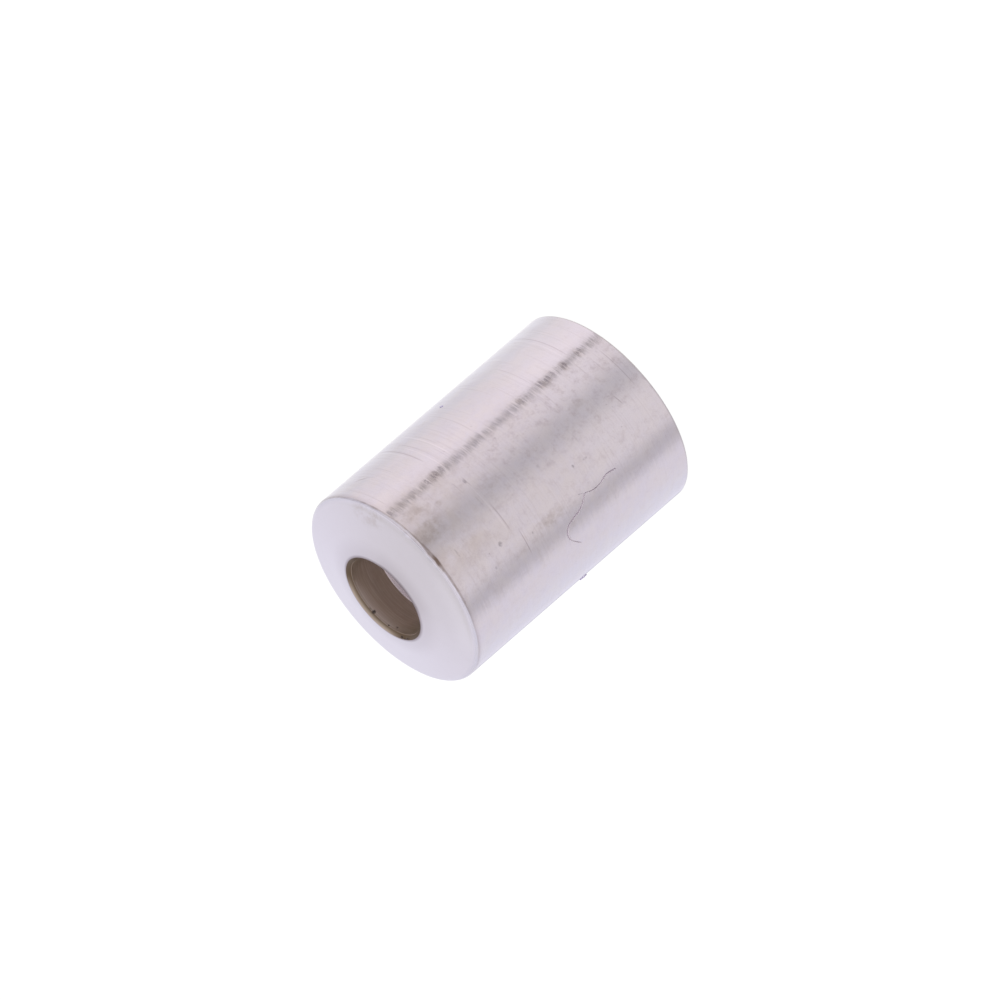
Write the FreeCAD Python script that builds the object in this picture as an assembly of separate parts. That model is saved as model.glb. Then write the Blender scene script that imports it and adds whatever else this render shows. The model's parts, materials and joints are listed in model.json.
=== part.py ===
import FreeCAD, Part

import math
import os

# Cable end sleeve: the turned, nickel plated brass ferrule on the end of a control cable's casing.
# It is one solid of revolution about Z, in millimetres, and stands on its open end at z = 0.
# The casing goes up into the wide bore until it meets the seat. The cable itself runs on through
# the small hole in the end wall. The outer face of that wall is a low cone, so the rim of the
# small hole is the highest part of the sleeve.

# Outside
OUTER_DIAMETER = 7.0
OVERALL_LENGTH = 10.0
END_CONE_RISE = 0.4  # from the outer edge of the end wall up to the rim of the cable hole
END_EDGE_RADIUS = 0.25  # rounding from the side to the end cone
OPEN_EDGE_BREAK = 0.05  # deburred outer edge of the open end

# Wide bore for the casing
CASING_DIAMETER = 5.0
CASING_CLEARANCE = 0.1  # all round the casing
CASING_LEAD_IN = 0.25  # chamfer at the open end
SEAT_CORNER_RADIUS = 0.15  # left by the nose of the boring tool, where the bore meets the seat

# End wall with the hole for the cable
END_WALL = 1.3  # from the casing's seat to the rim of the cable hole
CABLE_HOLE_DIAMETER = 2.9
HOLE_RIM_CHAMFER = 0.12  # outside, where the cable comes out
SEAT_EDGE_BREAK = 0.04  # inside, where the cable hole opens into the seat

OUTER_RADIUS = OUTER_DIAMETER / 2
BORE_RADIUS = CASING_DIAMETER / 2 + CASING_CLEARANCE
HOLE_RADIUS = CABLE_HOLE_DIAMETER / 2
RIM_RADIUS = HOLE_RADIUS + HOLE_RIM_CHAMFER
SEAT_HEIGHT = OVERALL_LENGTH - END_WALL
CONE_SLOPE = END_CONE_RISE / (OUTER_RADIUS - RIM_RADIUS)  # rise for each millimetre inwards
CONE_ANGLE = math.atan(CONE_SLOPE)  # between the end cone and a flat end
ROUND_HALF_TURN = math.pi / 4 - CONE_ANGLE / 2  # half the angle that the rounded edge turns through

AXIS_POINT = FreeCAD.Vector(0, 0, 0)
AXIS_DIRECTION = FreeCAD.Vector(0, 0, 1)
FULL_TURN = 360


def section_point(radius, height):
    """A point of the turned section, which lies in the XZ plane."""
    return FreeCAD.Vector(radius, 0, height)


def cone_height(radius):
    """Height of the end cone's surface at a radius."""
    return OVERALL_LENGTH - (radius - RIM_RADIUS) * CONE_SLOPE


def round_point(turned):
    """A point of the rounded end edge, after this much of its turn from the side inwards."""
    centre_height = cone_height(OUTER_RADIUS) - END_EDGE_RADIUS * math.tan(ROUND_HALF_TURN)
    return section_point(
        OUTER_RADIUS - END_EDGE_RADIUS * (1 - math.cos(turned)),
        centre_height + END_EDGE_RADIUS * math.sin(turned),
    )


def side_points():
    """The outside of the wall, from the open end up the straight side."""
    return [
        section_point(OUTER_RADIUS - OPEN_EDGE_BREAK, 0),
        section_point(OUTER_RADIUS, OPEN_EDGE_BREAK),
        round_point(0),
    ]


def end_edge():
    """The rounded edge from the side over to the end cone."""
    middle = round_point(ROUND_HALF_TURN)
    return Part.Arc(round_point(0), middle, round_point(2 * ROUND_HALF_TURN)).toShape()


def end_points():
    """The end cone, the rim of the cable hole, and the hole's wall down to the casing's seat."""
    return [
        round_point(2 * ROUND_HALF_TURN),
        section_point(RIM_RADIUS, OVERALL_LENGTH),
        section_point(HOLE_RADIUS, OVERALL_LENGTH - HOLE_RIM_CHAMFER),
        section_point(HOLE_RADIUS, SEAT_HEIGHT + SEAT_EDGE_BREAK),
        section_point(HOLE_RADIUS + SEAT_EDGE_BREAK, SEAT_HEIGHT),
        section_point(BORE_RADIUS - SEAT_CORNER_RADIUS, SEAT_HEIGHT),
    ]


def seat_corner():
    """The rounded corner from the seat down into the wall of the casing bore."""
    centre_radius = BORE_RADIUS - SEAT_CORNER_RADIUS
    centre_height = SEAT_HEIGHT - SEAT_CORNER_RADIUS
    diagonal = SEAT_CORNER_RADIUS * math.sqrt(0.5)
    return Part.Arc(
        section_point(centre_radius, SEAT_HEIGHT),
        section_point(centre_radius + diagonal, centre_height + diagonal),
        section_point(BORE_RADIUS, centre_height),
    ).toShape()


def bore_points():
    """The wall of the casing bore, from the seat's corner down and out over the lead-in."""
    return [
        section_point(BORE_RADIUS, SEAT_HEIGHT - SEAT_CORNER_RADIUS),
        section_point(BORE_RADIUS, CASING_LEAD_IN),
        section_point(BORE_RADIUS + CASING_LEAD_IN, 0),
    ]


def straight_edges(points):
    """Edges that join each point to the next one."""
    return [Part.makeLine(start, end) for start, end in zip(points, points[1:])]


def turned_section():
    """The closed section of the wall, as a turner's drawing shows it."""
    side = side_points()
    edges = straight_edges(side)
    edges.append(end_edge())
    edges += straight_edges(end_points())
    edges.append(seat_corner())
    edges += straight_edges(bore_points() + side[:1])
    return Part.Face(Part.Wire(edges))


def make_sleeve():
    """The sleeve as one turned solid."""
    return turned_section().revolve(AXIS_POINT, AXIS_DIRECTION, FULL_TURN)


def main():
    """Builds the sleeve and writes it as the part's only node."""
    sleeve = make_sleeve()
    os.makedirs("parts", exist_ok=True)
    sleeve.exportStep("parts/sleeve.step")
    box = sleeve.optimalBoundingBox()
    print("sleeve:", sleeve.ShapeType, "valid", sleeve.isValid(), "volume %.2f mm3" % sleeve.Volume)
    print("size %.3f x %.3f x %.3f mm, from z = %.3f" % (box.XLength, box.YLength, box.ZLength, box.ZMin))


main()
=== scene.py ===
import json
import logging
import math
from dataclasses import dataclass
from enum import Enum
from typing import Iterable, Optional, Sequence, Union

import bpy
from mathutils import Matrix, Vector


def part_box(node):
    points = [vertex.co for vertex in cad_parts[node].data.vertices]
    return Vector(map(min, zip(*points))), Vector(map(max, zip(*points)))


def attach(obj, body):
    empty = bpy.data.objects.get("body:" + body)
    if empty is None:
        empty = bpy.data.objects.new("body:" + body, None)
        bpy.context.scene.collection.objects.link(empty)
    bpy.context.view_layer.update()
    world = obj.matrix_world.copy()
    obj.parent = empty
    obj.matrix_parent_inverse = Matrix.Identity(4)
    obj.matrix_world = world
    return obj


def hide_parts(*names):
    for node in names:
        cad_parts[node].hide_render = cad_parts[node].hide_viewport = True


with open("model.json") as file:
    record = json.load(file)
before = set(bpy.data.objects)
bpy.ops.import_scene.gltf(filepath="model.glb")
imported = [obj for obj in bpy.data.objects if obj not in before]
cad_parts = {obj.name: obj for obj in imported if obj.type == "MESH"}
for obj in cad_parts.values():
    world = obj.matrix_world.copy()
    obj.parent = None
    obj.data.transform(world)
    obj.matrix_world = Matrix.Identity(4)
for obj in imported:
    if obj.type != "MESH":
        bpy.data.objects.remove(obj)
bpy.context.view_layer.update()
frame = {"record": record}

# The cable end sleeve in its looks: a nickel plated brass ferrule, turned from bar. The scene is in
# metres, and the sizes below are in millimetres, which is what the sleeve's drawing uses. A bearing
# is an angle in degrees round the sleeve's axis: 0 is along +X, and 90 along -Y, where the camera is.

MM = 0.001
METRES_TO_MM = 1000.0
FULL_TURN = 360.0
Socket = bpy.types.NodeSocket
Value = Union[float, Socket]
Colour = tuple[float, float, float]
ORIGIN = (0.0, 0.0, 0.0)
WHITE: Colour = (1.0, 1.0, 1.0)
BLACK: Colour = (0.0, 0.0, 0.0)
# Bare brass where the plating has gone, also laid on as a painted shade line round the open end.
BARE_BRASS_AND_SHADE: Colour = (0.26, 0.20, 0.155)
log = logging.getLogger("cable_end_sleeve")


# Sizes and places


class Surface(Enum):
    """The turned surfaces of the sleeve, each with its own finish."""

    SIDE = 0
    END = 1
    HOLE = 2
    BORE = 3


@dataclass(frozen=True)
class Station:
    """A circle of the turned form, where its section changes direction."""

    radius: float
    height: float
    rows: int = 1


@dataclass(frozen=True)
class Knock:
    """A small dent knocked into the metal."""

    bearing: float
    radius: float
    height: float
    reach: float
    depth: float


def mount(name: str) -> dict:
    """Finds one of the sleeve's mounts in the frame.

    Args:
        name: The mount's name in the record.

    Returns:
        The mount as the record holds it.
    """
    return next(one for one in frame["record"]["mounts"] if one["name"] == name)


def place(bearing: float, radius: float, height: float) -> Vector:
    """Turns a bearing, radius and height in millimetres into a place in the scene.

    Args:
        bearing: Degrees round the axis.
        radius: Distance from the axis.
        height: Height above the open end.

    Returns:
        The place in metres.
    """
    angle = math.radians(bearing)
    return Vector((radius * math.cos(angle), -radius * math.sin(angle), height)) * MM


@dataclass(frozen=True)
class SleeveSizes:
    """The turner's sizes of the sleeve, as in the model of the frame."""

    outer_radius: float
    length: float
    bore_radius: float
    hole_radius: float
    end_cone_rise: float = 0.4
    end_edge_radius: float = 0.25
    open_edge_break: float = 0.05
    rim_chamfer: float = 0.12
    end_wall: float = 1.3
    seat_edge_break: float = 0.04
    seat_corner: float = 0.15
    lead_in: float = 0.25

    @classmethod
    def from_frame(cls) -> "SleeveSizes":
        """Reads the sleeve's main sizes from its node and its mounts."""
        return cls(
            outer_radius=mount("outer_barrel")["dims"]["r_mm"],
            length=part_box("sleeve")[1].z * METRES_TO_MM,
            bore_radius=mount("casing_bore")["dims"]["r_mm"],
            hole_radius=mount("cable_hole")["dims"]["r_mm"],
        )

    @property
    def rim_radius(self) -> float:
        """Radius of the cable hole's rim, outside its chamfer."""
        return self.hole_radius + self.rim_chamfer

    @property
    def seat_height(self) -> float:
        """Height of the casing's seat above the open end."""
        return self.length - self.end_wall

    @property
    def round_half_turn(self) -> float:
        """Half the angle in radians that the rounded end edge turns through."""
        slope = self.end_cone_rise / (self.outer_radius - self.rim_radius)
        return math.pi / 4 - math.atan(slope) / 2

    @property
    def side_top(self) -> float:
        """Height at which the straight side ends and the rounded edge begins."""
        below_corner = self.end_edge_radius * math.tan(self.round_half_turn)
        return self.cone_height(self.outer_radius) - below_corner

    def round_place(self, turned: float) -> tuple[float, float]:
        """Radius and height of the rounded edge, after this much of its turn in radians."""
        radius = self.outer_radius - self.end_edge_radius * (1.0 - math.cos(turned))
        return radius, self.side_top + self.end_edge_radius * math.sin(turned)

    def cone_height(self, radius: float) -> float:
        """Height of the end cone at a radius."""
        slope = self.end_cone_rise / (self.outer_radius - self.rim_radius)
        return self.length - (radius - self.rim_radius) * slope


# Shader nodes


class NodeWriter:
    """Writes shader nodes into one tree, each with its inputs set or linked."""

    def __init__(self, tree: bpy.types.NodeTree) -> None:
        """Takes the tree that the nodes go into."""
        self.tree = tree

    def put(self, socket: Socket, value: object) -> None:
        """Links a socket to another one, or sets its value.

        Args:
            socket: The input to fill.
            value: An output to link, or a plain value.
        """
        if isinstance(value, Socket):
            self.tree.links.new(value, socket)
        elif isinstance(value, tuple) and socket.type == "RGBA":
            socket.default_value = (*value[:3], 1.0)
        else:
            socket.default_value = value

    def add(self, kind: str, inputs: dict[object, object], **settings: object) -> bpy.types.Node:
        """Adds a node.

        Args:
            kind: Blender's name for the node.
            inputs: Values or outputs for the inputs, by name or number.
            **settings: The node's own settings.

        Returns:
            The node.
        """
        node = self.tree.nodes.new(kind)
        for name, value in settings.items():
            setattr(node, name, value)
        for key, value in inputs.items():
            self.put(node.inputs[key], value)
        return node

    def math(self, operation: str, first: Value, second: Value = 0.0, third: Value = 0.0) -> Socket:
        """Adds a sum of numbers and returns its result."""
        inputs: dict[object, object] = {0: first, 1: second, 2: third}
        return self.add("ShaderNodeMath", inputs, operation=operation).outputs[0]

    def times(self, first: Value, *factors: Value) -> Value:
        """Multiplies numbers and returns their product."""
        for factor in factors:
            first = self.math("MULTIPLY", first, factor)
        return first

    def muladd(self, value: Value, factor: Value, total: Value) -> Socket:
        """Adds a number times a factor to a total and returns the sum."""
        return self.math("MULTIPLY_ADD", value, factor, total)

    def apart(self, first: Value, second: Value) -> Socket:
        """Returns how far apart two numbers are."""
        return self.math("ABSOLUTE", self.math("SUBTRACT", first, second))

    def hypotenuse(self, first: Value, second: Value) -> Socket:
        """Returns the length that two numbers at right angles make."""
        return self.math("SQRT", self.math("ADD", self.times(first, first), self.times(second, second)))

    def vector(self, operation: str, first: object, second: object = ORIGIN) -> Socket:
        """Adds a sum of vectors and returns its result."""
        return self.add("ShaderNodeVectorMath", {0: first, 1: second}, operation=operation).outputs[0]

    def scale(self, vector: Socket, factor: Value) -> Socket:
        """Multiplies a vector by a number."""
        inputs: dict[object, object] = {0: vector, "Scale": factor}
        return self.add("ShaderNodeVectorMath", inputs, operation="SCALE").outputs[0]

    def in_mm(self, position: Socket) -> Socket:
        """Turns a position in metres into millimetres."""
        return self.scale(position, METRES_TO_MM)

    def axes(self, vector: Socket) -> Sequence[Socket]:
        """Splits a vector into its x, y and z."""
        return self.add("ShaderNodeSeparateXYZ", {0: vector}).outputs

    def ease(
        self, value: Value, start: Value, end: Value, low: Value = 0.0, high: Value = 1.0
    ) -> Socket:
        """Eases smoothly from one number to another while a value goes from start to end.

        Args:
            value: The value that drives the change.
            start: Where the change starts.
            end: Where it ends.
            low: The result before the start.
            high: The result after the end.

        Returns:
            The eased number.
        """
        inputs: dict[object, object] = {0: value, 1: start, 2: end, 3: low, 4: high}
        settings = {"interpolation_type": "SMOOTHSTEP", "clamp": True}
        return self.add("ShaderNodeMapRange", inputs, **settings).outputs[0]

    def fade(
        self, value: Value, start: Value, end: Value, most: Value = 1.0, least: Value = 0.0
    ) -> Socket:
        """Eases down from most to least while a value goes from start to end."""
        return self.ease(value, start, end, most, least)

    def around(
        self, value: Value, middle: Value, inner: float, outer: float, most: Value = 1.0,
        least: Value = 0.0,
    ) -> Socket:
        """Eases down from most to least while a value goes from inner to outer away from a middle."""
        return self.fade(self.apart(value, middle), inner, outer, most, least)

    def blend(self, factor: Value, first: object, second: object) -> Socket:
        """Mixes two colours.

        Args:
            factor: How much of the second colour there is.
            first: The first colour.
            second: The second colour.

        Returns:
            The mixed colour.
        """
        node = self.add("ShaderNodeMix", {}, data_type="RGBA", blend_type="MIX")
        for key, value in ((0, factor), (6, first), (7, second)):
            self.put(node.inputs[key], value)
        return node.outputs[2]

    def coats(self, colour: object, *layers: tuple[Value, object]) -> Socket:
        """Lays coats over a colour, one after the other.

        Args:
            colour: The colour below them.
            *layers: How much there is of each coat, and its colour.

        Returns:
            The colour that shows.
        """
        for share, tone in layers:
            colour = self.blend(share, colour, tone)
        return colour

    def noise(self, vector: Socket, scale: float, detail: float, roughness: float = 0.5) -> Socket:
        """Adds a noise of about 0 to 1 and returns it."""
        inputs: dict[object, object] = {
            "Vector": vector, "Scale": scale, "Detail": detail, "Roughness": roughness,
        }
        return self.add("ShaderNodeTexNoise", inputs, noise_dimensions="3D").outputs[0]

    def group(self, effect: bpy.types.NodeTree, **inputs: object) -> Sequence[Socket]:
        """Places a node group with its own values.

        Args:
            effect: The group.
            **inputs: Its inputs, with an underscore for each space in a name.

        Returns:
            The group's outputs.
        """
        node = self.tree.nodes.new("ShaderNodeGroup")
        node.node_tree = effect
        for name, value in inputs.items():
            self.put(node.inputs[name.replace("_", " ")], value)
        return node.outputs


class GroupWriter(NodeWriter):
    """Writes a shader node group that puts out numbers."""

    def __init__(self, name: str, inputs: dict[str, object], outputs: Iterable[str]) -> None:
        """Starts the group.

        Args:
            name: The group's name.
            inputs: Each input's name with its default: a number or a vector.
            outputs: The outputs' names.
        """
        super().__init__(bpy.data.node_groups.new(name, "ShaderNodeTree"))
        sockets = self.tree.interface
        for label, default in inputs.items():
            kind = "NodeSocketVector" if isinstance(default, tuple) else "NodeSocketFloat"
            sockets.new_socket(name=label, in_out="INPUT", socket_type=kind).default_value = default
        for label in outputs:
            sockets.new_socket(name=label, in_out="OUTPUT", socket_type="NodeSocketFloat")
        self.given = self.tree.nodes.new("NodeGroupInput")
        self.result = self.tree.nodes.new("NodeGroupOutput")

    def read(self, *names: str) -> list[Socket]:
        """Reads some of the group's inputs."""
        return [self.given.outputs[name] for name in names]

    def send(self, name: str, value: Value) -> None:
        """Sets one of the group's outputs."""
        self.put(self.result.inputs[name], value)


class Effects:
    """The effects that the sleeve's finishes share, each built once as a node group."""

    def __init__(self) -> None:
        """Builds every effect."""
        self.place_on_sleeve = self._place_on_sleeve()
        self.turning_marks = self._turning_marks()
        self.round_scratch = self._round_scratch()
        self.spot = self._spot()
        self.grime = self._grime()
        self.worn_edge = self._worn_edge()

    @staticmethod
    def _place_on_sleeve() -> bpy.types.NodeTree:
        """Bearing in degrees, radius and height in millimetres, from the object's own coordinates."""
        nodes = GroupWriter("place_on_sleeve", {"Position": ORIGIN}, ("Bearing", "Radius", "Height"))
        (position,) = nodes.read("Position")
        x, y, z = nodes.axes(nodes.in_mm(position))
        nodes.send("Bearing", nodes.math("DEGREES", nodes.math("ARCTAN2", nodes.times(y, -1.0), x)))
        nodes.send("Radius", nodes.hypotenuse(x, y))
        nodes.send("Height", z)
        return nodes.tree

    @staticmethod
    def _turning_marks() -> bpy.types.NodeTree:
        """The marks of the turning tool and of polishing on the lathe, which run round the axis.

        Feed is the distance in millimetres along the surface, across the marks. The outputs are
        Ridges, the fine tool marks, Bands, wider belts of them, and Hairlines, broken fine scratches.
        """
        inputs: dict[str, object] = {"Position": ORIGIN, "Feed": 0.0}
        nodes = GroupWriter("turning_marks", inputs, ("Ridges", "Bands", "Hairlines"))
        position, feed = nodes.read("Position", "Feed")
        round_axis = nodes.vector("NORMALIZE", nodes.vector("MULTIPLY", position, (1.0, 1.0, 0.0)))
        for output, run, density, detail, roughness in (
            ("Ridges", 0.9, 5.0, 3.0, 0.62),
            ("Bands", 0.8, 1.6, 2.0, 0.55),
            ("Hairlines", 1.9, 26.0, 1.5, 0.5),
        ):
            across = nodes.add("ShaderNodeCombineXYZ", {2: nodes.times(feed, density)})
            where = nodes.vector("ADD", nodes.scale(round_axis, run), across.outputs[0])
            nodes.send(output, nodes.noise(where, 1.0, detail, roughness))
        return nodes.tree

    @staticmethod
    def _round_scratch() -> bpy.types.NodeTree:
        """One scratch round the axis: 1 along its middle, 0 away from it, faded at both ends."""
        inputs: dict[str, object] = {
            "Feed": 0.0, "Bearing": 0.0, "At": 0.0, "From": 0.0, "To": 90.0,
            "Half width": 0.03, "Fade": 8.0, "Climb": 0.0,
        }
        nodes = GroupWriter("round_scratch", inputs, ("Mask",))
        feed, bearing, at, first, last, half_width, faded, climb = nodes.read(*inputs)
        line = nodes.muladd(nodes.math("SUBTRACT", bearing, first), climb, at)
        across = nodes.fade(nodes.apart(feed, line), 0.0, half_width)
        begins = nodes.ease(bearing, first, nodes.math("ADD", first, faded))
        ends = nodes.fade(bearing, nodes.math("SUBTRACT", last, faded), last)
        nodes.send("Mask", nodes.times(across, nodes.times(begins, ends)))
        return nodes.tree

    @staticmethod
    def _spot() -> bpy.types.NodeTree:
        """A small round or long spot at a bearing and a feed."""
        inputs: dict[str, object] = {
            "Feed": 0.0, "Bearing": 0.0, "Radius": 3.5, "At": 0.0, "At bearing": 0.0,
            "Tall": 0.05, "Wide": 0.05,
        }
        nodes = GroupWriter("spot", inputs, ("Mask",))
        feed, bearing, radius, at, at_bearing, tall, wide = nodes.read(*inputs)
        up = nodes.math("DIVIDE", nodes.math("SUBTRACT", feed, at), tall)
        turn = nodes.math("RADIANS", nodes.math("SUBTRACT", bearing, at_bearing))
        side = nodes.math("DIVIDE", nodes.times(turn, radius), wide)
        nodes.send("Mask", nodes.fade(nodes.hypotenuse(up, side), 0.45, 1.0))
        return nodes.tree

    @staticmethod
    def _grime() -> bpy.types.NodeTree:
        """Uneven cloudy staining, small smudges, a wandering tint and a sprinkle of fine dust pits."""
        nodes = GroupWriter("grime", {"Position": ORIGIN}, ("Cloud", "Smudges", "Tint", "Pits"))
        where = nodes.in_mm(*nodes.read("Position"))
        elsewhere = nodes.vector("ADD", where, (7.0, 3.0, 5.0))
        nodes.send("Cloud", nodes.noise(where, 0.9, 4.0, 0.6))
        nodes.send("Smudges", nodes.ease(nodes.noise(where, 3.4, 6.0, 0.76), 0.44, 0.80))
        nodes.send("Tint", nodes.ease(nodes.noise(elsewhere, 1.8, 5.0, 0.7), 0.34, 0.66))
        cells = nodes.add("ShaderNodeTexVoronoi", {"Vector": where, "Scale": 2.3}, feature="F1")
        near = nodes.fade(cells.outputs["Distance"], 0.02, 0.075)
        chosen = nodes.math("GREATER_THAN", nodes.noise(where, 2.1, 0.0), 0.56)
        nodes.send("Pits", nodes.times(near, chosen))
        return nodes.tree

    @staticmethod
    def _worn_edge() -> bpy.types.NodeTree:
        """Thin line of bare metal along the end's rounded edge, thickest where the edge was knocked."""
        inputs: dict[str, object] = {"Position": ORIGIN, "Bearing": 0.0, "Height": 0.0, "At": 9.43}
        nodes = GroupWriter("worn_edge", inputs, ("Mask",))
        position, bearing, height, at = nodes.read(*inputs)
        where = nodes.in_mm(position)
        elsewhere = nodes.vector("ADD", where, (2.0, 9.0, 4.0))
        knocked = nodes.around(bearing, 90.5, 3.0, 11.0)
        rubbed_and_highlit = nodes.around(bearing, 105.0, 8.0, 22.0)
        clean_and_highlit = nodes.ease(bearing, 106.0, 132.0)

        width = nodes.muladd(nodes.noise(where, 4.0, 3.0, 0.6), 0.05, 0.020)
        width = nodes.muladd(rubbed_and_highlit, 0.012, nodes.muladd(knocked, 0.030, width))
        wander = nodes.muladd(nodes.noise(where, 1.7, 3.0, 0.6), 0.05, -0.025)
        middle = nodes.math("ADD", at, nodes.around(bearing, 15.0, 10.0, 55.0, 0.06))
        off = nodes.math("ADD", nodes.math("SUBTRACT", height, middle), wander)
        across = nodes.fade(nodes.math("ABSOLUTE", off), nodes.times(width, 0.3), width)

        strength = nodes.muladd(knocked, 0.45, nodes.muladd(rubbed_and_highlit, 0.22, 0.42))
        strength = nodes.muladd(clean_and_highlit, -0.33, strength)
        shaded = nodes.ease(bearing, 18.0, 34.0, 0.74, 1.0)
        uneven = nodes.ease(nodes.noise(elsewhere, 2.6, 2.0), 0.3, 0.7, 0.55, 1.15)
        nodes.send("Mask", nodes.times(across, nodes.times(strength, shaded, uneven)))
        return nodes.tree


# Finishes


@dataclass(frozen=True)
class Mark:
    """A mark on a surface, at a feed across the turning marks."""

    feed: float

    @classmethod
    def rows(cls, *rows: tuple[float, ...]) -> tuple["Mark", ...]:
        """Makes a mark of each row, which holds its values in the order of the fields."""
        return tuple(cls(*row) for row in rows)


@dataclass(frozen=True)
class Scratch(Mark):
    """A scratch that runs round the sleeve: its first and last bearing, and its look."""

    first: float
    last: float
    half_width: float
    lift: float
    climb: float = 0.0


@dataclass(frozen=True)
class Speck(Mark):
    """A dark speck on a surface: its bearing, its size and how dark it is."""

    bearing: float
    tall: float
    wide: float
    strength: float


class Finish:
    """A metal finish: one material, built from the shared effects."""

    name = "finish"
    metallic = 1.0
    roughness = 0.2
    ridge_depth = 0.01
    longest_fade = 8.0

    def __init__(self, sizes: SleeveSizes, effects: Effects) -> None:
        """Takes the sleeve's sizes and the shared effects, and starts the material."""
        self.sizes = sizes
        self.effects = effects
        self.material = bpy.data.materials.new(self.name)
        self.material.use_nodes = True
        self.material.node_tree.nodes.clear()
        self.nodes = NodeWriter(self.material.node_tree)
        self.position = self.nodes.add("ShaderNodeTexCoord", {}).outputs["Object"]
        where = self.nodes.group(effects.place_on_sleeve, Position=self.position)
        self.bearing, self.radius, self.height = where

    def build(self) -> bpy.types.Material:
        """Builds the material.

        Returns:
            The material, ready for its slot.
        """
        colour, rough, relief = self.paint()
        relief_inputs = {"Strength": 1.0, "Distance": self.ridge_depth * MM, "Height": relief}
        normal = self.nodes.add("ShaderNodeBump", relief_inputs).outputs[0]
        inputs = {"Base Color": colour, "Metallic": self.metallic, "Roughness": rough, "Normal": normal}
        shader = self.nodes.add("ShaderNodeBsdfPrincipled", inputs)
        self.nodes.add("ShaderNodeOutputMaterial", {"Surface": shader.outputs[0]})
        return self.material

    def paint(self) -> tuple[Socket, Socket, Socket]:
        """Works out how the surface looks.

        Returns:
            Its colour, its roughness and the height of its relief, in ridge depths.
        """
        raise NotImplementedError

    def turning_marks(self, feed: Socket) -> Sequence[Socket]:
        """Ridges, bands and hairlines round the axis, for a feed across them."""
        return self.nodes.group(self.effects.turning_marks, Position=self.position, Feed=feed)

    def grime(self) -> Sequence[Socket]:
        """Cloud, smudges, tint and pits of the surface."""
        return self.nodes.group(self.effects.grime, Position=self.position)

    def worn_edge(self) -> Socket:
        """Where the metal is bare along the end's edge, from 0 to 1."""
        return self.nodes.group(
            self.effects.worn_edge, Position=self.position, Bearing=self.bearing, Height=self.height
        )[0]

    def scratches(self, marks: Sequence[Scratch]) -> Value:
        """Adds up scratches, each with its own lift.

        Args:
            marks: The scratches.

        Returns:
            The sum: above 0 on light scratches, which the side paints with a glint, and below 0 on dull
                ones.
        """
        total: Value = 0.0
        for mark in marks:
            line = self.nodes.group(
                self.effects.round_scratch, Feed=self.height, Bearing=self.bearing, At=mark.feed,
                From=mark.first, To=mark.last, Half_width=mark.half_width, Climb=mark.climb,
                Fade=min(self.longest_fade, (mark.last - mark.first) / 3.0),
            )
            total = self.nodes.muladd(line[0], mark.lift, total)
        return total

    def spots(self, feed: Socket, radius: float, marks: Sequence[Speck]) -> Value:
        """Adds up smooth round or long spots.

        Args:
            feed: Distance across the turning marks.
            radius: Radius of the surface that they lie on.
            marks: The spots.

        Returns:
            How strong the spots are, from 0 up.
        """
        total: Value = 0.0
        for mark in marks:
            spot = self.nodes.group(
                self.effects.spot, Feed=feed, Bearing=self.bearing, Radius=radius, At=mark.feed,
                At_bearing=mark.bearing, Tall=mark.tall, Wide=mark.wide,
            )
            total = self.nodes.muladd(spot[0], mark.strength, total)
        return total

    def specks(self, radius: float, marks: Sequence[Speck]) -> Value:
        """Adds up ragged specks of dirt. See Finish.spots for the arguments and the result."""
        fine = self.nodes.noise(self.nodes.in_mm(self.position), 13.0, 3.0)
        ragged = self.nodes.ease(fine, 0.34, 0.56, 0.30, 1.15)
        return self.nodes.times(self.spots(self.height, radius, marks), ragged)


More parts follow.
